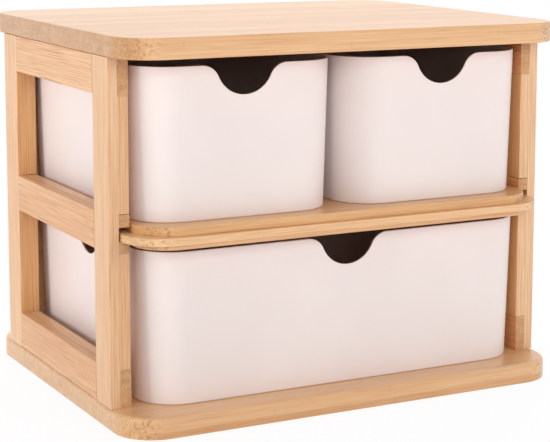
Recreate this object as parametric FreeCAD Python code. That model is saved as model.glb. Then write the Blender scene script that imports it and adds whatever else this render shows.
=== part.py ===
import FreeCAD, Part
import math
import os

from FreeCAD import Vector

# All lengths are in millimetres.
# X runs to the right, Y to the back and Z up, from the middle of the underside.

# Top and bottom boards
cabinet_width = 330.0
board_depth = 270.0
board_thickness = 14.0
board_corner_radius = 28.0
top_board_ease = 1.0
bottom_board_round = 3.0

# Side frames, each of two stiles and three rails that are halved into each other
board_overhang = 33.5
frame_depth = board_depth - 2 * board_overhang
member_thickness = 14.4
outer_lap = 7.0
stile_width = 26.0
rail_height = 25.5
lap_gap = 0.4

# Drawer bins, open boxes with drafted walls
small_bin_height = 101.0
wide_bin_height = 102.3
bin_wall = 1.5
bin_base = 2.0
bin_draft = 2.4
bin_corner_radius = 27.0
bin_rear_corner_radius = 10.0
bin_foot_round = 2.0
bin_front_projection = 12.0
bin_rear_gap = 0.6
small_bin_side_gap = 3.2
small_bin_middle_gap = 5.2
wide_bin_left_gap = 6.4
wide_bin_right_gap = 2.5

# Finger notches in the bins' rims
notch_radius = 20.5
notch_shoulder_radius = 12.7
front_notch_depth = 20.0
side_notch_depth = 18.3

# Free height above the bins in each bay
lower_headroom = 4.7
upper_headroom = 6.5

# Shelf of three plies. The middle one is a tongue that slides into the middle rails' grooves
shelf_upper_ply = 6.0
shelf_tongue = 5.2
shelf_lower_ply = 2.8
shelf_front_overhang = 30.0
shelf_corner_radius = 28.0
upper_ply_setback = 4.0
upper_ply_corner_radius = 28.0
lower_ply_setback = 0.8
lower_ply_corner_radius = 23.0
shelf_side_gap = 0.7
tongue_end_gap = 1.0
groove_headroom = 3.8
rail_under_groove = 8.2

# Back panel, let into rebates along the frames' rear inner edges
panel_thickness = 3.0
panel_rebate = 5.0
panel_side_gap = 0.3

# Dowels between the top rails and the top board
dowel_radius = 3.0
dowel_in_rail = 11.0
dowel_in_board = 9.0
dowel_inset = 20.0

# Countersunk screws up through the bottom board into the bottom rails
screw_radius = 2.0
screw_head_radius = 4.0
screw_length = 32.0
screw_tip_length = 4.0
screw_sink = 0.5
screw_inset = 20.0
driver_slot_width = 1.2
driver_slot_span = 4.4
driver_slot_depth = 1.2

# Panel pins through the back panel into the rear stiles
pin_radius = 0.7
pin_head_radius = 1.5
pin_head_height = 0.6
pin_length = 14.0
pin_height_shares = (0.2, 0.8)

# Clearances round the fixings, the length by which every cut runs past its piece,
# and how near a level an edge counts as lying on it
fixing_clearance = 0.1
hole_end_gap = 0.5
overrun = 5.0
level_tolerance = 0.01

# Levels, worked out from the sizes above
shelf_thickness = shelf_upper_ply + shelf_tongue + shelf_lower_ply
shelf_low = board_thickness + wide_bin_height + lower_headroom
shelf_top = shelf_low + shelf_thickness
tongue_low = shelf_low + shelf_lower_ply
tongue_top = tongue_low + shelf_tongue
frame_low = board_thickness
frame_top = shelf_top + small_bin_height + upper_headroom
bottom_rail_top = frame_low + rail_height
middle_rail_low = tongue_low - rail_under_groove
middle_rail_top = middle_rail_low + rail_height
top_rail_low = frame_top - rail_height

# Planes of the right-hand frame, and of the back panel
outer_x = cabinet_width / 2
inner_x = outer_x - member_thickness
lap_x = outer_x - outer_lap
fixing_x = outer_x - member_thickness / 2
frame_y = frame_depth / 2
rail_y = frame_y - stile_width
panel_y = frame_y - panel_thickness

# Places of the bins, measured at their rims
bin_front_y = -frame_y - bin_front_projection - bin_draft
bin_rear_y = panel_y - bin_rear_gap
small_bin_rim = (small_bin_middle_gap / 2, inner_x - small_bin_side_gap)
wide_bin_rim = (wide_bin_left_gap - inner_x, inner_x - wide_bin_right_gap)


def box(x0, x1, y0, y1, z0, z1):
    """Box between two corners."""
    return Part.makeBox(x1 - x0, y1 - y0, z1 - z0, Vector(x0, y0, z0))


def mirrored(shape):
    """The same piece on the left side."""
    return shape.mirror(Vector(0, 0, 0), Vector(1, 0, 0))


def outline(x0, x1, y0, y1, front_radius, rear_radius, z):
    """Closed wire of a rectangle with two round front corners and two round rear ones."""
    corners = (
        (x1 - front_radius, y0 + front_radius, front_radius, -90),
        (x1 - rear_radius, y1 - rear_radius, rear_radius, 0),
        (x0 + rear_radius, y1 - rear_radius, rear_radius, 90),
        (x0 + front_radius, y0 + front_radius, front_radius, 180),
    )
    edges = []
    last = None
    first = None
    for centre_x, centre_y, radius, start in corners:
        points = []
        for turn in (0, 45, 90):
            angle = math.radians(start + turn)
            points.append(
                Vector(centre_x + radius * math.cos(angle), centre_y + radius * math.sin(angle), z)
            )
        if last is None:
            first = points[0]
        else:
            edges.append(Part.LineSegment(last, points[0]).toShape())
        edges.append(Part.Arc(*points).toShape())
        last = points[2]
    edges.append(Part.LineSegment(last, first).toShape())
    return Part.Wire(edges)


def slab(x0, x1, y0, y1, radius, z0, z1):
    """Flat board with round corners."""
    face = Part.Face(outline(x0, x1, y0, y1, radius, radius, z0))
    return face.extrude(Vector(0, 0, z1 - z0))


def level_edges(shape, z):
    """The edges of a shape that lie flat at one level."""
    found = []
    for edge in shape.Edges:
        offsets = [abs(vertex.Z - z) for vertex in edge.Vertexes]
        if max(offsets) < level_tolerance:
            found.append(edge)
    return found


def rod(x, y, z0, z1, radius):
    """Upright cylinder."""
    return Part.makeCylinder(radius, z1 - z0, Vector(x, y, z0))


def mirrored_places(x, y):
    """The four places that a fixing has, one at each end of both frames."""
    return [(side * x, end * y) for side in (-1, 1) for end in (-1, 1)]


dowel_places = mirrored_places(fixing_x, rail_y - dowel_inset)
screw_places = mirrored_places(fixing_x, rail_y - screw_inset)


def dowel_holes(shape):
    """Cuts the blind holes of the top dowels from a board or a rail."""
    for x, y in dowel_places:
        low = frame_top - dowel_in_rail - hole_end_gap
        high = frame_top + dowel_in_board + hole_end_gap
        shape = shape.cut(rod(x, y, low, high, dowel_radius + fixing_clearance))
    return shape


def countersunk(x, y, radius, head_radius, length):
    """Head cone, shank and point of a screw that stands on its head."""
    head_height = head_radius - radius
    tip_z = screw_sink + length
    head = Part.makeCone(head_radius, radius, head_height, Vector(x, y, screw_sink))
    shank = rod(x, y, screw_sink + head_height, tip_z - screw_tip_length, radius)
    tip = Part.makeCone(radius, 0, screw_tip_length, Vector(x, y, tip_z - screw_tip_length))
    return head.fuse([shank, tip]).removeSplitter()


def screw_holes(shape):
    """Cuts the countersunk holes of the bottom screws from a board or a rail."""
    for x, y in screw_places:
        hole = countersunk(
            x,
            y,
            screw_radius + fixing_clearance,
            screw_head_radius + fixing_clearance,
            screw_length + hole_end_gap,
        )
        mouth = rod(x, y, -overrun, screw_sink, screw_head_radius + fixing_clearance)
        shape = shape.cut(hole).cut(mouth)
    return shape


def pin_levels():
    """Heights of the panel pins, beside the windows of the frames."""
    levels = []
    for low, high in ((bottom_rail_top, middle_rail_low), (middle_rail_top, top_rail_low)):
        levels += [low + share * (high - low) for share in pin_height_shares]
    return levels


def pin_rods(radius, end_gap):
    """Shanks of the right-hand panel pins, lying along Y."""
    x = inner_x + panel_rebate / 2
    start_y = frame_y - pin_length - end_gap
    length = pin_length + end_gap
    return [
        Part.makeCylinder(radius, length, Vector(x, start_y, z), Vector(0, 1, 0))
        for z in pin_levels()
    ]


def pin_holes(shape):
    """Cuts the holes of the panel pins on both sides."""
    for hole in pin_rods(pin_radius + fixing_clearance, hole_end_gap):
        shape = shape.cut(hole).cut(mirrored(hole))
    return shape


def top_board():
    shape = slab(
        -outer_x, outer_x, -board_depth / 2, board_depth / 2,
        board_corner_radius, frame_top, frame_top + board_thickness,
    )
    eased = level_edges(shape, frame_top) + level_edges(shape, frame_top + board_thickness)
    return dowel_holes(shape.makeFillet(top_board_ease, eased))


def bottom_board():
    shape = slab(
        -outer_x, outer_x, -board_depth / 2, board_depth / 2,
        board_corner_radius, 0, board_thickness,
    )
    shape = shape.makeFillet(bottom_board_round, level_edges(shape, board_thickness))
    return screw_holes(shape)


def panel_seat(shape):
    """Cuts the rebate of the back panel from a piece of the right-hand frame."""
    return shape.cut(
        box(
            inner_x - overrun, inner_x + panel_rebate,
            panel_y, frame_y + overrun,
            frame_low - overrun, frame_top + overrun,
        )
    )


def stile(front):
    """Right-hand upright, with its inner half cut away where the rails cross it."""
    y0 = -frame_y if front else rail_y
    shape = box(inner_x, outer_x, y0, y0 + stile_width, frame_low, frame_top)
    housings = (
        (frame_low - overrun, bottom_rail_top),
        (middle_rail_low, middle_rail_top + lap_gap),
        (top_rail_low, frame_top + overrun),
    )
    for low, high in housings:
        shape = shape.cut(
            box(inner_x - overrun, lap_x, y0 - overrun, y0 + stile_width + overrun, low, high)
        )
    if front:
        return shape
    return pin_holes(panel_seat(shape))


def rail(low):
    """Right-hand rail, full thickness between the stiles and half of it across them."""
    high = low + rail_height
    web = box(inner_x, outer_x, -rail_y, rail_y, low, high)
    halving = box(inner_x, lap_x, -frame_y, frame_y, low, high)
    return panel_seat(web.fuse(halving).removeSplitter())


def top_rail():
    return dowel_holes(rail(top_rail_low))


def middle_rail():
    groove = box(
        inner_x - overrun, lap_x, -frame_y - overrun, frame_y + overrun,
        tongue_low, tongue_top + groove_headroom,
    )
    return rail(middle_rail_low).cut(groove)


def bottom_rail():
    return screw_holes(rail(frame_low))


def shelf_ply(half_width, front_y, radius, low, high):
    """Ply of the shelf, with round front corners and square rear ones."""
    shape = slab(-half_width, half_width, front_y, panel_y + radius, radius, low, high)
    behind = box(
        -outer_x, outer_x, panel_y, panel_y + radius + overrun, low - overrun, high + overrun
    )
    return shape.cut(behind)


def middle_shelf():
    ply_x = inner_x - shelf_side_gap
    front_y = -frame_y - shelf_front_overhang
    tongue = shelf_ply(lap_x - tongue_end_gap, front_y, shelf_corner_radius, tongue_low, tongue_top)
    upper_ply = shelf_ply(
        ply_x, front_y + upper_ply_setback, upper_ply_corner_radius, tongue_top, shelf_top
    )
    lower_ply = shelf_ply(
        ply_x, front_y + lower_ply_setback, lower_ply_corner_radius, shelf_low, tongue_low
    )
    return tongue.fuse([upper_ply, lower_ply]).removeSplitter()


def back_panel():
    half_width = inner_x + panel_rebate - panel_side_gap
    shape = box(-half_width, half_width, panel_y, frame_y, frame_low, frame_top)
    return pin_holes(shape)


def tapered(x0, x1, y0, y1, inset, low, high, draft):
    """Solid with a bin's round corners, less an inset, whose walls lean outwards by the draft."""
    front = bin_corner_radius - inset
    rear = bin_rear_corner_radius - inset
    base = outline(x0 + draft, x1 - draft, y0 + draft, y1 - draft, front, rear, low)
    rim = outline(x0, x1, y0, y1, front + draft, rear + draft, high)
    return Part.makeLoft([base, rim], True, True)


def notch_face(depth, rim_z):
    """Face of a finger notch in the XZ plane: a round bowl, round shoulders, open at the rim."""
    bowl_z = rim_z - depth + notch_radius
    shoulder_z = rim_z - notch_shoulder_radius
    reach = notch_radius + notch_shoulder_radius
    shoulder_x = math.sqrt(reach**2 - (bowl_z - shoulder_z) ** 2)
    joint_angle = math.atan2(bowl_z - shoulder_z, -shoulder_x)
    right = []
    for angle in (math.pi / 2, (math.pi / 2 + joint_angle) / 2, joint_angle):
        x = shoulder_x + notch_shoulder_radius * math.cos(angle)
        right.append(Vector(x, 0, shoulder_z + notch_shoulder_radius * math.sin(angle)))
    left = [Vector(-point.x, 0, point.z) for point in right]
    top_right = Vector(shoulder_x, 0, rim_z + overrun)
    top_left = Vector(-shoulder_x, 0, rim_z + overrun)
    edges = [
        Part.Arc(*left),
        Part.Arc(left[2], Vector(0, 0, rim_z - depth), right[2]),
        Part.Arc(right[2], right[1], right[0]),
        Part.LineSegment(right[0], top_right),
        Part.LineSegment(top_right, top_left),
        Part.LineSegment(top_left, left[0]),
    ]
    return Part.Face(Part.Wire([edge.toShape() for edge in edges]))


def drawer_bin(rim, low, height, side_notches):
    """Open bin between two X places of its rim, with a finger notch in its front."""
    x0, x1 = rim
    high = low + height
    shape = tapered(x0, x1, bin_front_y, bin_rear_y, 0, low, high, bin_draft)
    shape = shape.makeFillet(bin_foot_round, level_edges(shape, low))
    slope = bin_draft / height
    floor_z = low + bin_base
    mouth_z = high + overrun
    floor_inset = bin_wall + (high - floor_z) * slope
    mouth_inset = bin_wall - overrun * slope
    hollow = tapered(
        x0 + mouth_inset, x1 - mouth_inset, bin_front_y + mouth_inset, bin_rear_y - mouth_inset,
        floor_inset - bin_draft, floor_z, mouth_z, floor_inset - mouth_inset,
    )
    shape = shape.cut(hollow)
    middle_x = (x0 + x1) / 2
    front_notch = notch_face(front_notch_depth, high).extrude(Vector(0, frame_y, 0))
    front_notch.translate(Vector(middle_x, bin_front_y - overrun, 0))
    shape = shape.cut(front_notch)
    if side_notches:
        notch = notch_face(side_notch_depth, high).extrude(Vector(0, cabinet_width, 0))
        notch.translate(Vector(0, -cabinet_width / 2, 0))
        notch.rotate(Vector(0, 0, 0), Vector(0, 0, 1), 90)
        notch.translate(Vector(0, (bin_front_y + bin_rear_y) / 2, 0))
        shape = shape.cut(notch)
    return shape


def top_dowels():
    low = frame_top - dowel_in_rail
    high = frame_top + dowel_in_board
    return [rod(x, y, low, high, dowel_radius) for x, y in dowel_places]


def bottom_screws():
    screws = []
    for x, y in screw_places:
        screw = countersunk(x, y, screw_radius, screw_head_radius, screw_length)
        half_span = driver_slot_span / 2
        half_width = driver_slot_width / 2
        slot_top = screw_sink + driver_slot_depth
        along = box(x - half_span, x + half_span, y - half_width, y + half_width, -overrun, slot_top)
        across = box(x - half_width, x + half_width, y - half_span, y + half_span, -overrun, slot_top)
        screws.append(screw.cut(along.fuse(across)))
    return screws


def back_panel_pins():
    pins = []
    x = inner_x + panel_rebate / 2
    for z, shank in zip(pin_levels(), pin_rods(pin_radius, 0)):
        head = Part.makeCylinder(
            pin_head_radius, pin_head_height, Vector(x, frame_y, z), Vector(0, 1, 0)
        )
        pin = head.fuse(shank).removeSplitter()
        pins += [pin, mirrored(pin)]
    return pins


frame_pieces = {
    "front_stile": stile(True),
    "rear_stile": stile(False),
    "top_rail": top_rail(),
    "middle_rail": middle_rail(),
    "bottom_rail": bottom_rail(),
}
left_small_rim = (-small_bin_rim[1], -small_bin_rim[0])
nodes = {
    "top_board": top_board(),
    "bottom_board": bottom_board(),
    "middle_shelf": middle_shelf(),
    "back_panel": back_panel(),
    "small_drawer_left": drawer_bin(left_small_rim, shelf_top, small_bin_height, False),
    "small_drawer_right": drawer_bin(small_bin_rim, shelf_top, small_bin_height, False),
    "wide_drawer": drawer_bin(wide_bin_rim, board_thickness, wide_bin_height, True),
    "top_dowels": Part.makeCompound(top_dowels()),
    "bottom_screws": Part.makeCompound(bottom_screws()),
    "back_panel_pins": Part.makeCompound(back_panel_pins()),
}
for name, piece in frame_pieces.items():
    nodes["right_" + name] = piece
    nodes["left_" + name] = mirrored(piece)

os.makedirs("parts", exist_ok=True)
for name, shape in nodes.items():
    shape.exportStep("parts/" + name + ".step")
    size = shape.BoundBox
    print(
        f"{name}: valid {shape.isValid()}, {len(shape.Solids)} solids, volume {shape.Volume:.0f},",
        f"{size.XLength:.1f} x {size.YLength:.1f} x {size.ZLength:.1f}",
    )
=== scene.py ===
import math

import bmesh
import bpy
from mathutils import Matrix, Vector


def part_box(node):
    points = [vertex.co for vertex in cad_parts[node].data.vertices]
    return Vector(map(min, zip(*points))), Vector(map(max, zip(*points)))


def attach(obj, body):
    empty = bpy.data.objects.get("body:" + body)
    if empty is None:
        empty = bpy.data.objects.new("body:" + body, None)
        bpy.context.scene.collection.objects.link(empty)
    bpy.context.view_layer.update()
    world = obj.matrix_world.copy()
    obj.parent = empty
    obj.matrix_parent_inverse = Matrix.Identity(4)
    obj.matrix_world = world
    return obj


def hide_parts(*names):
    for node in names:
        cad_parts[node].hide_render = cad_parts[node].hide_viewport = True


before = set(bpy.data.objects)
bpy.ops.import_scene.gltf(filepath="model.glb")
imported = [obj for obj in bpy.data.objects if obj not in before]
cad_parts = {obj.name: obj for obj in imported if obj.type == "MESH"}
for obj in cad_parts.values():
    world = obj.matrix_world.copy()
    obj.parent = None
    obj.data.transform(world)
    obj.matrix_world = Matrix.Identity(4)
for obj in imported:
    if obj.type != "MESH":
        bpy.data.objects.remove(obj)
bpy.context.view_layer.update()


# Bottom board.
# A 14 mm board glued up from bamboo strips that run from side to side. Its plan
# corners are cut round, its upper edge is rounded over, and screws come up through it.

mm = 0.001
level_tolerance = 0.001 * mm
board_corner = 28 * mm
bottom_round = 3 * mm
bottom_ease = 0.4 * mm
screw_sink = 0.5 * mm
fixing_clearance = 0.1 * mm
hole_radius = 2.1 * mm
hole_length = 20 * mm
sink_radius = 4.1 * mm
sink_height = 2 * mm
mouth_depth = 4 * mm
relief_depth = 0.25 * mm


def alone(piece):
    """Selects one piece and nothing else."""
    bpy.ops.object.select_all(action="DESELECT")
    piece.select_set(True)
    bpy.context.view_layer.objects.active = piece


def settle(piece, name):
    """Names a piece and puts its place, turn and size into its mesh."""
    alone(piece)
    bpy.ops.object.transform_apply(location=True, rotation=True, scale=True)
    piece.name = name
    piece.data.name = name
    return piece


def block(name, low, high):
    """A cube brought out to two corners."""
    low = Vector(low)
    high = Vector(high)
    bpy.ops.object.select_all(action="DESELECT")
    bpy.ops.mesh.primitive_cube_add(size=1, location=(low + high) / 2)
    bpy.context.object.scale = high - low
    return settle(bpy.context.object, name)


def pick(piece, kind, wanted):
    """Opens a piece for editing with only the wanted edges or faces selected."""
    alone(piece)
    bpy.ops.object.mode_set(mode="EDIT")
    bpy.ops.mesh.select_mode(type=kind)
    bpy.ops.mesh.select_all(action="DESELECT")
    mesh = bmesh.from_edit_mesh(piece.data)
    for part in mesh.edges if kind == "EDGE" else mesh.faces:
        if wanted(part):
            part.select_set(True)
    mesh.select_flush_mode()
    bmesh.update_edit_mesh(piece.data)


def close_edit():
    bpy.ops.object.mode_set(mode="OBJECT")


def round_edges(piece, wanted, radius, segments):
    """Rounds the wanted edges over."""
    pick(piece, "EDGE", wanted)
    bpy.ops.mesh.bevel(offset=radius, segments=segments, affect="EDGES")
    close_edit()


def upright(edge):
    a, b = (vert.co for vert in edge.verts)
    return (a.xy - b.xy).length < level_tolerance


def at_level(z):
    return lambda edge: all(abs(vert.co.z - z) < level_tolerance for vert in edge.verts)


def facing_up(face):
    return face.normal.z > 0.9


def cut(piece, tool):
    """Cuts the shape of a tool out of a piece, and puts the tool away."""
    alone(piece)
    saw = piece.modifiers.new("saw", "BOOLEAN")
    saw.operation = "DIFFERENCE"
    saw.solver = "EXACT"
    saw.object = tool
    bpy.ops.object.modifier_apply(modifier=saw.name)
    bpy.data.objects.remove(tool)


def shade(piece, sharp=40):
    """Shades the rounds smooth and the flats flat."""
    alone(piece)
    bpy.ops.object.shade_smooth_by_angle(angle=math.radians(sharp))
    flats = piece.modifiers.new("flats", "WEIGHTED_NORMAL")
    flats.keep_sharp = True
    bpy.ops.object.modifier_apply(modifier=flats.name)


def ease(piece, width, segments=2, sharp=50):
    """Breaks every edge that is still sharp, then shades the piece."""
    alone(piece)
    sander = piece.modifiers.new("sander", "BEVEL")
    sander.width = width
    sander.segments = segments
    sander.limit_method = "ANGLE"
    sander.angle_limit = math.radians(sharp)
    bpy.ops.object.modifier_apply(modifier=sander.name)
    shade(piece)


def screw_hole(x, y):
    """A countersink that opens downwards, with the hole for the shank above it."""
    bpy.ops.object.select_all(action="DESELECT")
    bpy.ops.mesh.primitive_cylinder_add(
        vertices=40, radius=sink_radius, depth=mouth_depth, location=(x, y, screw_sink - mouth_depth / 2)
    )
    hole = settle(bpy.context.object, "screw_hole")
    pick(hole, "FACE", facing_up)
    bpy.ops.mesh.extrude_region_move(TRANSFORM_OT_translate={"value": (0, 0, sink_height)})
    shrink = hole_radius / sink_radius
    bpy.ops.transform.resize(value=(shrink, shrink, 1))
    bpy.ops.mesh.extrude_region_move(TRANSFORM_OT_translate={"value": (0, 0, hole_length)})
    close_edit()
    return hole


def paint(red, green, blue):
    """A colour given as it looks on a screen, from 0 to 255."""
    channels = []
    for value in (red, green, blue):
        value = value / 255
        channels.append(value / 12.92 if value <= 0.04045 else ((value + 0.055) / 1.055) ** 2.4)
    return (*channels, 1)


def new_material(name):
    """A material with no nodes yet, and its node tree."""
    material = bpy.data.materials.new(name)
    material.use_nodes = True
    material.node_tree.nodes.clear()
    return material, material.node_tree


def add(tree, kind, *inputs, output=0, **settings):
    """Adds a shader node, joins or sets its inputs in their order, and gives back one output."""
    node = tree.nodes.new(kind)
    node.location = (220 * len(tree.nodes), 0)
    for name, value in settings.items():
        setattr(node, name, value)
    for socket, value in zip([s for s in node.inputs if s.enabled], inputs):
        if isinstance(value, bpy.types.NodeSocket):
            tree.links.new(value, socket)
        elif value is not None:
            socket.default_value = value
    return [s for s in node.outputs if s.enabled][output]


def object_place(tree):
    """Places on the piece, in metres."""
    return add(tree, "ShaderNodeTexCoord", output=3)


def object_normal(tree):
    """The way that the surface faces."""
    return add(tree, "ShaderNodeTexCoord", output=1)


def apart(tree, vector):
    """The three coordinates of a place or of a direction."""
    axes = tree.nodes.new("ShaderNodeSeparateXYZ")
    tree.links.new(vector, axes.inputs[0])
    return axes.outputs


def sums(tree, operation, *inputs):
    return add(tree, "ShaderNodeMath", *inputs, operation=operation)


def flipped(tree, value):
    return sums(tree, "SUBTRACT", 1, value)


def between(tree, value, start, end):
    """0 as far as start, 1 from end on, and a soft step between them. Start may be the larger."""
    node = tree.nodes.new("ShaderNodeMapRange")
    node.interpolation_type = "SMOOTHSTEP"
    tree.links.new(value, node.inputs["Value"])
    node.inputs["From Min"].default_value = start
    node.inputs["From Max"].default_value = end
    return node.outputs["Result"]


def blend_colours(tree, share, first, second, how="MIX"):
    node = tree.nodes.new("ShaderNodeMix")
    node.data_type = "RGBA"
    node.blend_type = how
    for name, value in ((0, share), (6, first), (7, second)):
        if isinstance(value, bpy.types.NodeSocket):
            tree.links.new(value, node.inputs[name])
        else:
            node.inputs[name].default_value = value
    return node.outputs[2]


def noise(tree, place, scale=1, detail=3, roughness=0.55):
    """Noise with its scale in cells to the metre, or 1 where the place is stretched already."""
    node = tree.nodes.new("ShaderNodeTexNoise")
    tree.links.new(place, node.inputs["Vector"])
    node.inputs["Scale"].default_value = scale
    node.inputs["Detail"].default_value = detail
    node.inputs["Roughness"].default_value = roughness
    return node.outputs["Fac"]


def dots(tree, place, heart, rim):
    """1 in the heart of each cell of a pattern, and 0 beyond its rim."""
    cells = tree.nodes.new("ShaderNodeTexVoronoi")
    tree.links.new(place, cells.inputs["Vector"])
    cells.inputs["Scale"].default_value = 1
    return flipped(tree, between(tree, cells.outputs["Distance"], heart, rim))


def surface(tree, colour, rough, height, strength, depth, looks):
    """Joins a colour, a roughness and a relief to the shader, whose other looks are given by name."""
    bump = tree.nodes.new("ShaderNodeBump")
    bump.inputs["Strength"].default_value = strength
    bump.inputs["Distance"].default_value = depth
    tree.links.new(height, bump.inputs["Height"])
    shader = tree.nodes.new("ShaderNodeBsdfPrincipled")
    tree.links.new(colour, shader.inputs["Base Color"])
    tree.links.new(rough, shader.inputs["Roughness"])
    tree.links.new(bump.outputs["Normal"], shader.inputs["Normal"])
    for name, value in looks.items():
        shader.inputs[name].default_value = value
    output = tree.nodes.new("ShaderNodeOutputMaterial")
    tree.links.new(shader.outputs[0], output.inputs[0])


def strip_places(tree, axes, fibre, strip, ply):
    """The place along, across and through the strips, and each strip's own tone. The place
    along is shifted from strip to strip, so that no two have the same grain."""
    longest_shift = 3.7
    names = ["X", "Y", "Z"]
    along = axes[names.index(fibre)]
    across, through = (axes[i] for i in range(3) if names[i] != fibre)
    lane = sums(tree, "FLOOR", sums(tree, "DIVIDE", across, strip))
    layer = sums(tree, "FLOOR", sums(tree, "DIVIDE", through, ply))
    dice = tree.nodes.new("ShaderNodeTexWhiteNoise")
    dice.noise_dimensions = "3D"
    tree.links.new(add(tree, "ShaderNodeCombineXYZ", lane, layer), dice.inputs["Vector"])
    tone = dice.outputs["Value"]
    return (sums(tree, "MULTIPLY_ADD", tone, longest_shift, along), across, through), tone


def stretched(tree, places, length, width, height=None):
    """Places measured in cells of one length along the fibre and one width across it."""
    sizes = (length, width, height or width)
    cells = [sums(tree, "DIVIDE", place, size) for place, size in zip(places, sizes)]
    return add(tree, "ShaderNodeCombineXYZ", *cells)


def grain_lines(tree, places):
    """Thin lines of grain, a little apart, that waver and fade along the strip."""
    waver = noise(tree, stretched(tree, places, 110 * mm, 6 * mm), detail=2)
    comb = sums(tree, "MULTIPLY_ADD", waver, 5.2 * mm, sums(tree, "ADD", places[1], places[2]))
    comb = sums(tree, "PINGPONG", comb, 0.9 * mm)
    line = flipped(tree, between(tree, comb, 0.06 * mm, 0.42 * mm))
    fading = noise(tree, stretched(tree, places, 45 * mm, 2.2 * mm), detail=2)
    return sums(tree, "MULTIPLY", line, between(tree, fading, 0.36, 0.6))


def end_stain(tree, places, tint):
    """The tint of the cut ends, clouded and in rows."""
    lift = 24
    clouds = noise(tree, stretched(tree, places, 20 * mm, 5 * mm), detail=4)
    rows = noise(tree, stretched(tree, places, 40 * mm, 30 * mm, 0.9 * mm), detail=3, roughness=0.65)
    share = between(tree, sums(tree, "ADD", clouds, rows), 0.72, 1.28)
    lighter = [min(level + lift, 255) for level in tint]
    return blend_colours(tree, share, paint(*tint), paint(*lighter))


def corner_marks(tree, places, turn):
    """Short upright marks of fibres, where a corner is cut round through them."""
    mark = dots(tree, stretched(tree, places, 40 * mm, 1.3 * mm, 2.8 * mm), 0.1, 0.55)
    flat_end = sums(tree, "MULTIPLY", between(tree, turn, 0.85, 0.98), 0.75)
    slant = sums(tree, "SUBTRACT", between(tree, turn, 0.15, 0.5), flat_end)
    return sums(tree, "MULTIPLY", mark, slant)


def knuckle_bars(tree, place_along, clouds):
    """Faint bars at the knuckles of the cane, which lie far apart."""
    wander = sums(tree, "MULTIPLY_ADD", clouds, 4 * mm, place_along)
    knuckle = sums(tree, "PINGPONG", wander, 117.5 * mm)
    return flipped(tree, between(tree, knuckle, 0.3 * mm, 1.2 * mm))


def turned_to_bins(tree, axes, facing):
    """1 on sides that look towards the middle of the cabinet, and on the fronts of rear sticks: the places of
    the painted shade and bounce light.
    """
    outward = sums(tree, "MULTIPLY", sums(tree, "SIGN", axes[0]), facing[0])
    rear = sums(tree, "GREATER_THAN", axes[1], 0)
    forward = sums(tree, "MULTIPLY", rear, between(tree, facing[1], -0.6, -0.9))
    return sums(tree, "MAXIMUM", between(tree, outward, -0.6, -0.9), forward)


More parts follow.
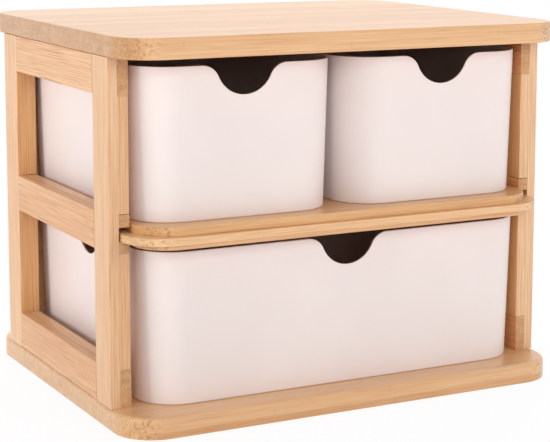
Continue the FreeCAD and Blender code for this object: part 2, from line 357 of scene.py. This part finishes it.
def bamboo(
    name, fibre, strip, ply, pale, tan, contrast=1.0, bands=0.38, lines=0.3, knuckles=0.0,
    core=0.0, core_x=0.0, end_tint=(220, 214, 200), underside_shade=(255, 255, 255), inside=None,
    roughness=0.45, specular=0.35, coat=0.0,
):
    """Glued bamboo strips. Fibre names the axis that they run along; strip and ply are a strip's
    sizes along the other two axes, in the order of X, Y and Z. Bands sets how far the strips
    differ, and core darkens what lies nearer to the middle than core_x. The tints multiply the
    wood's colour: end_tint on the strips' ends, underside as a painted shade on undersides, and
    inside as a painted shade with warm bounce light on sides turned to the bins."""
    material, tree = new_material(name)
    axes = apart(tree, object_place(tree))
    facing = apart(tree, object_normal(tree))
    places, tone = strip_places(tree, axes, fibre, strip, ply)
    turn = sums(tree, "ABSOLUTE", facing[["X", "Y", "Z"].index(fibre)])
    end = between(tree, turn, 0.35, 0.8)
    side = flipped(tree, end)

    # Broad clouds, streaks a millimetre wide, hair-fine fibres, and bundles of vessels
    clouds = noise(tree, stretched(tree, places, 160 * mm, 16 * mm), detail=2)
    streaks = noise(tree, stretched(tree, places, 55 * mm, 1.3 * mm), detail=3, roughness=0.62)
    fibres = noise(tree, stretched(tree, places, 12 * mm, 0.34 * mm), detail=2)
    bundle = dots(tree, stretched(tree, places, 30 * mm, 1.1 * mm), 0.12, 0.38)
    line = sums(tree, "MULTIPLY", grain_lines(tree, places), side)

    # How dark each point is, from 0 to about 1.6. The strips' ends lose most of their bands
    depth = sums(tree, "MULTIPLY_ADD", streaks, 0.75 * contrast, sums(tree, "MULTIPLY", clouds, 0.35))
    banding = sums(tree, "MULTIPLY_ADD", side, bands * 0.7, bands * 0.3)
    depth = sums(tree, "MULTIPLY_ADD", tone, banding, depth)
    depth = sums(tree, "ADD", depth, (0.38 - bands) / 2)
    depth = sums(tree, "MULTIPLY_ADD", fibres, 0.12, depth)
    if core:
        distance = sums(tree, "ABSOLUTE", axes[0])
        inner = flipped(tree, between(tree, distance, core_x - 0.3 * mm, core_x + 0.3 * mm))
        depth = sums(tree, "ADD", depth, sums(tree, "MULTIPLY", inner, core))

    # The colour, layer on layer
    dark = paint(158, 104, 60)
    wood = blend_colours(tree, between(tree, depth, 0.45, 1.15), paint(*pale), paint(*tan))
    wood = blend_colours(tree, sums(tree, "MULTIPLY", bundle, 0.12 * contrast), wood, dark)
    wood = blend_colours(tree, sums(tree, "MULTIPLY", line, lines), wood, dark)
    wood = blend_colours(tree, end, wood, end_stain(tree, places, end_tint), "MULTIPLY")
    # Painted shade: faces that look down are multiplied by the underside tint, a deeper tan
    underside_shade_share = between(tree, facing[2], -0.6, -0.9)
    wood = blend_colours(tree, underside_shade_share, wood, paint(*underside_shade), "MULTIPLY")
    # Painted shade with warm bounce light: sides turned to the bins and the rear sticks' fronts are
    # multiplied by the inside tint
    if inside:
        painted_bounce_shade_share = turned_to_bins(tree, axes, facing)
        wood = blend_colours(tree, painted_bounce_shade_share, wood, paint(*inside), "MULTIPLY")
    marks = sums(tree, "MULTIPLY", corner_marks(tree, places, turn), 0.6)
    wood = blend_colours(tree, marks, wood, dark)
    if knuckles:
        bars = sums(tree, "MULTIPLY", knuckle_bars(tree, places[0], clouds), knuckles)
        wood = blend_colours(tree, bars, wood, dark)

    rough = sums(tree, "MULTIPLY_ADD", streaks, 0.14, roughness - 0.07)
    height = sums(tree, "MULTIPLY_ADD", streaks, 0.6, sums(tree, "MULTIPLY", fibres, 0.4))
    height = sums(tree, "SUBTRACT", height, sums(tree, "MULTIPLY", sums(tree, "ADD", bundle, line), 0.3))
    looks = {"Specular IOR Level": specular, "Coat Weight": coat, "Coat Roughness": 0.22}
    surface(tree, wood, rough, height, 0.3, relief_depth, looks)
    return material


def board_bamboo(name, end_tint):
    """The bamboo of the two outer boards."""
    # The underside tint is a painted shade on the board's underside
    return bamboo(
        name, "X", 19.3 * mm, 4.7 * mm, (236, 193, 147), (208, 152, 100), contrast=0.9, bands=0.24,
        lines=0.12, knuckles=0.1, end_tint=end_tint, underside_shade=(242, 192, 150), roughness=0.32,
        specular=0.5, coat=0.35,
    )


def finish(piece, material, slot, body, *nodes):
    """Gives a piece its material and its body, and hides the CAD nodes that it stands for."""
    piece.data.materials.clear()
    piece.data.materials.append(material)
    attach(piece, body)
    if nodes:
        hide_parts(*nodes)


low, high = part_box("bottom_board")
bottom = block("bottom_board_dressed", low, high)
round_edges(bottom, upright, board_corner, 18)
round_edges(bottom, at_level(high.z), bottom_round, 5)
screw_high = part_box("bottom_screws")[1]
screw_x = screw_high.x - sink_radius + fixing_clearance
screw_y = screw_high.y - sink_radius + fixing_clearance
for side in (-1, 1):
    for end in (-1, 1):
        cut(bottom, screw_hole(side * screw_x, end * screw_y))
ease(bottom, bottom_ease)
finish(bottom, board_bamboo("bottom_bamboo", (231, 229, 220)), "bamboo", "cabinet", "bottom_board")


# Side frames.
# Each is five bamboo sticks: two stiles and three rails, halved into each other and
# glued, so that the ends of the rails show on the front of the posts. The middle rail is
# grooved for the shelf, and the rear edges are rebated for the back panel.

stick_ease = 0.8 * mm
joint_ease = 0.13 * mm
outer_lap = 7 * mm
lap_gap = 0.4 * mm
panel_rebate = 5 * mm
shelf_lower_ply = 2.8 * mm
shelf_tongue = 5.2 * mm
groove_headroom = 3.8 * mm
overrun = 5 * mm

post_low, post_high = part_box("right_front_stile")
rear_low, rear_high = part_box("right_rear_stile")
shelf_low, shelf_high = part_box("middle_shelf")
rail_boxes = {
    rail_name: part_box("right_" + rail_name) for rail_name in ("bottom_rail", "middle_rail", "top_rail")
}
# Room below and above each rail in the stiles' housings
housing_room = {"bottom_rail": (overrun, 0), "middle_rail": (0, lap_gap), "top_rail": (0, overrun)}
inner_x = post_low.x
outer_x = post_high.x
lap_x = outer_x - outer_lap
frame_y = rear_high.y
rail_y = rear_low.y
panel_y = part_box("back_panel")[0].y
tongue_low = shelf_low.z + shelf_lower_ply
tongue_high = tongue_low + shelf_tongue
groove_high = tongue_high + groove_headroom

# The inside tint is a painted shade with warm bounce light on the stiles' sides turned to the bins and on the
# rear stiles' fronts
stile_bamboo = bamboo(
    "stile_bamboo", "Z", 7.9 * mm, 37.5 * mm, (245, 213, 178), (218, 168, 123), bands=0.2, lines=0.34,
    core=0.07, core_x=lap_x, inside=(248, 231, 202), specular=0.35, coat=0.25,
)
# The inside tint is a painted shade with warm bounce light on the rails' sides turned to the bins
rail_bamboo = bamboo(
    "rail_bamboo", "Y", 7.9 * mm, 50 * mm, (241, 200, 158), (212, 156, 107), bands=0.25, lines=0.55,
    end_tint=(208, 200, 186), inside=(255, 230, 202), specular=0.35, coat=0.25,
)


def along_y(edge):
    a, b = (vert.co for vert in edge.verts)
    return (a.xz - b.xz).length < level_tolerance


def housed_stile(name, low, high):
    """A stile with a housing for each rail, cut from its inner side as deep as the lap."""
    stile = block(name, low, high)
    round_edges(stile, upright, stick_ease, 3)
    for rail_name, (rail_low, rail_high) in rail_boxes.items():
        room_below, room_above = housing_room[rail_name]
        start = (inner_x - overrun, low.y - overrun, rail_low.z - room_below)
        cut(stile, block("housing", start, (lap_x, high.y + overrun, rail_high.z + room_above)))
    return stile


def halved_rail(name, low, high):
    """A rail cut back on the outer side of each end, where the stiles lap over it."""
    rail = block(name, low, high)
    round_edges(rail, along_y, stick_ease, 3)
    for near, far in ((-frame_y - overrun, -rail_y), (rail_y, frame_y + overrun)):
        corner = (outer_x + overrun, far, high.z + overrun)
        cut(rail, block("halving", (lap_x, near, low.z - overrun), corner))
    return rail


def shelf_groove(piece):
    """Cuts the groove that the shelf's tongue slides into, from end to end."""
    start = (inner_x - overrun, -frame_y - overrun, tongue_low)
    cut(piece, block("groove", start, (lap_x, frame_y + overrun, groove_high)))


def panel_seat(piece):
    """Cuts the rebate of the back panel."""
    corner = (inner_x + panel_rebate, frame_y + overrun, post_high.z + overrun)
    cut(piece, block("rebate", (inner_x - overrun, panel_y, -overrun), corner))


def mirrored_copy(piece, name):
    """The same piece made for the left side, with a mesh of its own."""
    alone(piece)
    bpy.ops.object.duplicate()
    twin = bpy.context.object
    twin.scale.x = -1
    settle(twin, name)
    bpy.ops.object.mode_set(mode="EDIT")
    bpy.ops.mesh.select_all(action="SELECT")
    bpy.ops.mesh.normals_make_consistent(inside=False)
    close_edit()
    return twin


sticks = {
    "front_stile": housed_stile("right_front_stile_dressed", post_low, post_high),
    "rear_stile": housed_stile("right_rear_stile_dressed", rear_low, rear_high),
}
panel_seat(sticks["rear_stile"])
for rail_name, (rail_low, rail_high) in rail_boxes.items():
    rail = halved_rail("right_" + rail_name + "_dressed", rail_low, rail_high)
    if rail_name == "middle_rail":
        shelf_groove(rail)
    panel_seat(rail)
    sticks[rail_name] = rail

for stick_name, stick in sticks.items():
    twin = mirrored_copy(stick, "left_" + stick_name + "_dressed")
    for side, made in (("right_", stick), ("left_", twin)):
        ease(made, joint_ease)
        stick_bamboo = stile_bamboo if "stile" in stick_name else rail_bamboo
        finish(made, stick_bamboo, "bamboo", "cabinet", side + stick_name)


# Middle shelf.
# Three plies of bamboo glued face to face, each with its own front corners. The middle ply
# stands out at the front and at both sides, where it slides into the middle rails' grooves.

shelf_side_gap = 0.7 * mm
shelf_corner = 28 * mm
upper_setback = 4 * mm
lower_setback = 0.8 * mm
lower_corner = 23 * mm
ply_ease = 0.3 * mm


def ply_bamboo(name, strip, pale, tan):
    # The underside tint is a painted shade on the undersides of the shelf plies
    return bamboo(
        name, "X", strip, 50 * mm, pale, tan, lines=0.2, underside_shade=(248, 198, 154), roughness=0.34,
        specular=0.5, coat=0.3,
    )


def front_corner(edge):
    return upright(edge) and edge.verts[0].co.y < 0


upper_bamboo = ply_bamboo("upper_ply_bamboo", 18.5 * mm, (232, 185, 132), (198, 141, 86))
middle_bamboo = ply_bamboo("middle_ply_bamboo", 17.2 * mm, (244, 208, 166), (226, 176, 126))
lower_bamboo = ply_bamboo("lower_ply_bamboo", 19 * mm, (230, 184, 138), (200, 144, 96))
ply_x = inner_x - shelf_side_gap
for ply_name, half, setback, corner, ply_low, ply_high, wood in (
    ("shelf_upper_ply", ply_x, upper_setback, shelf_corner, tongue_high, shelf_high.z, upper_bamboo),
    ("shelf_middle_ply", shelf_high.x, 0, shelf_corner, tongue_low, tongue_high, middle_bamboo),
    ("shelf_lower_ply", ply_x, lower_setback, lower_corner, shelf_low.z, tongue_low, lower_bamboo),
):
    ply = block(ply_name, (-half, shelf_low.y + setback, ply_low), (half, shelf_high.y, ply_high))
    round_edges(ply, front_corner, corner, 18)
    ease(ply, ply_ease)
    finish(ply, wood, "bamboo", "cabinet", "middle_shelf")


# Back panel.
# A 3 mm sheet of bamboo plywood, set in the rebates of the frames and pinned there.
# Its outer veneer runs from side to side.


def cover(node, material):
    """Gives a CAD node that keeps its own mesh a material."""
    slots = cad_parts[node].data.materials
    slots.clear()
    slots.append(material)


panel_veneer = bamboo(
    "panel_veneer", "X", 50 * mm, 40 * mm, (240, 198, 154), (210, 156, 106), contrast=0.8, lines=0.2
)
cover("back_panel", panel_veneer)


# Top board.
# The same glued board as the bottom one, with its edges only broken. Dowels in its
# underside hold it to the top rails.

top_ease = 1 * mm

low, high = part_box("top_board")
top = block("top_board_dressed", low, high)
round_edges(top, upright, board_corner, 18)
round_edges(top, lambda edge: at_level(low.z)(edge) or at_level(high.z)(edge), top_ease, 3)
shade(top)
finish(top, board_bamboo("top_bamboo", (204, 192, 176)), "bamboo", "cabinet", "top_board")


# Drawer bins.
# Open boxes of white plastic, moulded with leaning walls, round corners and a smooth lip.
# A finger notch with round shoulders is cut in each front, and in both sides of the wide bin.

bin_wall = 1.5 * mm
bin_base = 2 * mm
bin_draft = 2.4 * mm
front_corner_round = 29.4 * mm
rear_corner_round = 12.4 * mm
foot_round = 1 * mm
floor_round = 3 * mm
lip_round = 0.45 * mm
front_notch_depth = 20 * mm
side_notch_depth = 18.3 * mm
notch_radius = 20.5 * mm
shoulder_radius = 12.7 * mm
bar_length = 400 * mm
front_reach = 40 * mm
plastic_relief = 0.1 * mm


def white_plastic(name):
    """Matte moulded plastic with a fine, even texture and very slight waves."""
    material, tree = new_material(name)
    place = object_place(tree)
    spark = noise(tree, place, scale=2600, detail=2, roughness=0.5)
    waves = noise(tree, place, scale=14, detail=2, roughness=0.5)
    share = between(tree, waves, 0.3, 0.7)
    colour = blend_colours(tree, share, paint(240, 230, 229), paint(236, 226, 225))
    rough = sums(tree, "MULTIPLY_ADD", spark, 0.12, 0.3)
    height = sums(tree, "MULTIPLY_ADD", waves, 3.0, spark)
    surface(tree, colour, rough, height, 0.12, plastic_relief, {"Specular IOR Level": 0.5})
    return material


def notch_edge(x, half, joint, bowl_height):
    """The height of a notch's edge above the rim, at a distance from its middle."""
    if x < joint:
        return bowl_height - math.sqrt(notch_radius**2 - x**2)
    return math.sqrt(max(shoulder_radius**2 - (half - x) ** 2, 0)) - shoulder_radius


def notch_cutter(depth, rim):
    """A bar along Y whose underside is a finger notch: a round bowl between round shoulders."""
    bowl_height = notch_radius - depth
    reach = notch_radius + shoulder_radius
    half = math.sqrt(reach**2 - (bowl_height + shoulder_radius) ** 2)
    joint = half * notch_radius / reach
    bpy.ops.object.select_all(action="DESELECT")
    bpy.ops.mesh.primitive_grid_add(x_subdivisions=96, y_subdivisions=1, size=2, rotation=(math.pi / 2, 0, 0))
    bpy.context.object.scale = (half, overrun, 1)
    cutter = settle(bpy.context.object, "notch")
    for vert in cutter.data.vertices:
        if vert.co.z < 0:
            vert.co.z = notch_edge(abs(vert.co.x), half, joint, bowl_height)
    pick(cutter, "FACE", lambda face: True)
    bpy.ops.mesh.extrude_region_move(TRANSFORM_OT_translate={"value": (0, bar_length, 0)})
    bpy.ops.mesh.select_all(action="SELECT")
    bpy.ops.mesh.normals_make_consistent(inside=False)
    bpy.ops.transform.translate(value=(0, -bar_length / 2, rim))
    close_edit()
    return cutter


def rear_corner(edge):
    return upright(edge) and edge.verts[0].co.y > 0


def solid_bin(name, low, high):
    """A cube with its upright corners rounded, its walls leaned in towards a rounded foot."""
    made = block(name, low, high)
    width, depth, height = high - low
    round_edges(made, front_corner, front_corner_round, 16)
    round_edges(made, rear_corner, rear_corner_round, 12)
    pick(made, "FACE", lambda face: face.normal.z < -0.9)
    foot = ((width - 2 * bin_draft) / width, (depth - 2 * bin_draft) / depth, 1)
    bpy.ops.transform.resize(value=foot, center_override=(low + high) / 2)
    close_edit()
    round_edges(made, at_level(low.z), foot_round, 4)
    return made


def hollow_out(made, low, high):
    """Sinks a hollow with leaning walls and a rounded floor into the top."""
    width, depth, height = high - low
    pick(made, "FACE", facing_up)
    bpy.ops.mesh.inset(thickness=bin_wall)
    bpy.ops.mesh.extrude_region_move(TRANSFORM_OT_translate={"value": (0, 0, bin_base - height)})
    lean = 2 * bin_draft * (height - bin_base) / height
    mouth_x = width - 2 * bin_wall
    mouth_y = depth - 2 * bin_wall
    floor_share = ((mouth_x - lean) / mouth_x, (mouth_y - lean) / mouth_y, 1)
    bpy.ops.transform.resize(value=floor_share, center_override=(low + high) / 2)
    close_edit()
    round_edges(made, at_level(low.z + bin_base), floor_round, 4)


def moulded_bin(name, node, side_notches):
    """A bin made in the size of its CAD node, notched and lipped."""
    low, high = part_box(node)
    middle = (low + high) / 2
    made = solid_bin(name, low, high)
    hollow_out(made, low, high)
    front = notch_cutter(front_notch_depth, high.z)
    front.location = (middle.x, low.y + front_reach - bar_length / 2, 0)
    cut(made, settle(front, "notch"))
    if side_notches:
        across = notch_cutter(side_notch_depth, high.z)
        across.rotation_euler.z = math.pi / 2
        across.location.y = middle.y
        cut(made, settle(across, "notch"))
    ease(made, lip_round, segments=3)
    return made


bin_white = white_plastic("bin_white")
right_bin = moulded_bin("small_bin_right", "small_drawer_right", False)
alone(right_bin)
bpy.ops.object.duplicate()
left_bin = bpy.context.object
left_bin.location.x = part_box("small_drawer_left")[0].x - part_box("small_drawer_right")[0].x
settle(left_bin, "small_bin_left")
wide_bin = moulded_bin("wide_bin", "wide_drawer", True)
for made, node in (
    (right_bin, "small_drawer_right"), (left_bin, "small_drawer_left"), (wide_bin, "wide_drawer")
):
    finish(made, bin_white, "white_plastic", node, node)


# Dowels, screws and panel pins.
# Hardwood dowels under the top board, countersunk zinc screws under the bottom board,
# and flat-headed zinc pins through the back panel. All keep their CAD meshes.

zinc_relief = 0.05 * mm


def zinc(name):
    """Bright zinc plate with small dull patches."""
    material, tree = new_material(name)
    mark = noise(tree, object_place(tree), scale=900, roughness=0.5)
    plate = blend_colours(tree, mark, paint(202, 204, 206), paint(168, 170, 172))
    rough = sums(tree, "MULTIPLY_ADD", mark, 0.3, 0.2)
    surface(tree, plate, rough, mark, 0.2, zinc_relief, {"Metallic": 1})
    return material


dowel_wood = bamboo("dowel_wood", "Z", 50 * mm, 50 * mm, (226, 196, 158), (204, 168, 126))
zinc_plate = zinc("zinc_plate")
cover("top_dowels", dowel_wood)
cover("bottom_screws", zinc_plate)
cover("back_panel_pins", zinc_plate)


# Studio.
# A white floor and a white surround, with soft light from the front, the left and above.
# The camera stands at the photograph's place.

floor_width = 12
fade_start = 240 * mm
fade_end = 500 * mm
lamp_aim = (0, 0, 120 * mm)

# The photograph's size, focal length and optical centre in pixels, and its camera's place
photo_width = 550
photo_height = 442
photo_focal_length = 1748
photo_centre_column = 335
photo_centre_row = 130
camera_place = (-0.5655, -1.1284, 0.3495)
camera_yaw = math.radians(-28.80)
camera_tilt = math.radians(90 - 7.93)
camera_roll = math.radians(0.30)
sensor_width = 36


def looked_at(tree):
    """1 for what the camera and the reflections see, 0 for the light that falls on the part."""
    rays = tree.nodes.new("ShaderNodeLightPath")
    mirrored = sums(tree, "MAXIMUM", rays.outputs["Is Glossy Ray"], rays.outputs["Is Transmission Ray"])
    return sums(tree, "MAXIMUM", rays.outputs["Is Camera Ray"], mirrored)


def white_floor(name):
    """Paper that keeps a faint shadow near the part and glows pure white further out."""
    material, tree = new_material(name)
    distance = tree.nodes.new("ShaderNodeVectorMath")
    distance.operation = "LENGTH"
    tree.links.new(object_place(tree), distance.inputs[0])
    away = between(tree, distance.outputs["Value"], fade_start, fade_end)
    share = sums(tree, "MULTIPLY", looked_at(tree), sums(tree, "MULTIPLY_ADD", away, 0.07, 0.93))
    paper = add(tree, "ShaderNodeBsdfDiffuse", paint(252, 251, 250))
    glow = add(tree, "ShaderNodeEmission", (1, 1, 1, 1), 1.0)
    mixed = add(tree, "ShaderNodeMixShader", share, paper, glow)
    tree.links.new(mixed, tree.nodes.new("ShaderNodeOutputMaterial").inputs[0])
    return material


def white_world(name):
    """White where it is seen, and dimmer and warmer where it lights the part."""
    world = bpy.data.worlds.new(name)
    world.use_nodes = True
    tree = world.node_tree
    tree.nodes.clear()
    seen = looked_at(tree)
    strength = sums(tree, "MULTIPLY_ADD", seen, 0.62, 0.38)
    air = blend_colours(tree, seen, (1, 0.95, 0.885, 1), (1, 1, 1, 1))
    sky = add(tree, "ShaderNodeBackground", air, strength)
    tree.links.new(sky, tree.nodes.new("ShaderNodeOutputWorld").inputs[0])
    return world


def lamp(name, place, width, watts):
    """A square soft box that faces the part."""
    light = bpy.data.lights.new(name, "AREA")
    light.shape = "SQUARE"
    light.size = width
    light.energy = watts
    soft_box = bpy.data.objects.new(name, light)
    bpy.context.scene.collection.objects.link(soft_box)
    soft_box.location = place
    aim = Vector(lamp_aim) - Vector(place)
    soft_box.rotation_euler = aim.to_track_quat("-Z", "Y").to_euler()
    soft_box.visible_camera = False
    soft_box.visible_glossy = False


bpy.ops.object.select_all(action="DESELECT")
bpy.ops.mesh.primitive_plane_add(size=floor_width, location=(0, 0, 0))
floor = settle(bpy.context.object, "floor")
floor.data.materials.append(white_floor("white_sweep"))
bpy.context.scene.world = white_world("studio")
lamp("key", (-0.65, -2.45, 1.1), 1.1, 18.5)
lamp("fill", (1.45, -2.1, 1.1), 1.1, 13.5)
lamp("left", (-2.2, 0.1, 0.65), 0.8, 19)
lamp("overhead", (0.4, 0.9, 1.9), 1.4, 30)

view = bpy.data.cameras.new("camera")
camera = bpy.data.objects.new("camera", view)
bpy.context.scene.collection.objects.link(camera)
view.sensor_width = sensor_width
view.lens = photo_focal_length / photo_width * sensor_width
view.shift_x = (photo_width / 2 - photo_centre_column) / photo_width
view.shift_y = (photo_centre_row - photo_height / 2) / photo_width
camera.matrix_world = (
    Matrix.Translation(camera_place)
    @ Matrix.Rotation(camera_yaw, 4, "Z")
    @ Matrix.Rotation(camera_tilt, 4, "X")
    @ Matrix.Rotation(camera_roll, 4, "Z")
)
bpy.context.scene.camera = camera
bpy.context.scene.view_settings.view_transform = "Standard"
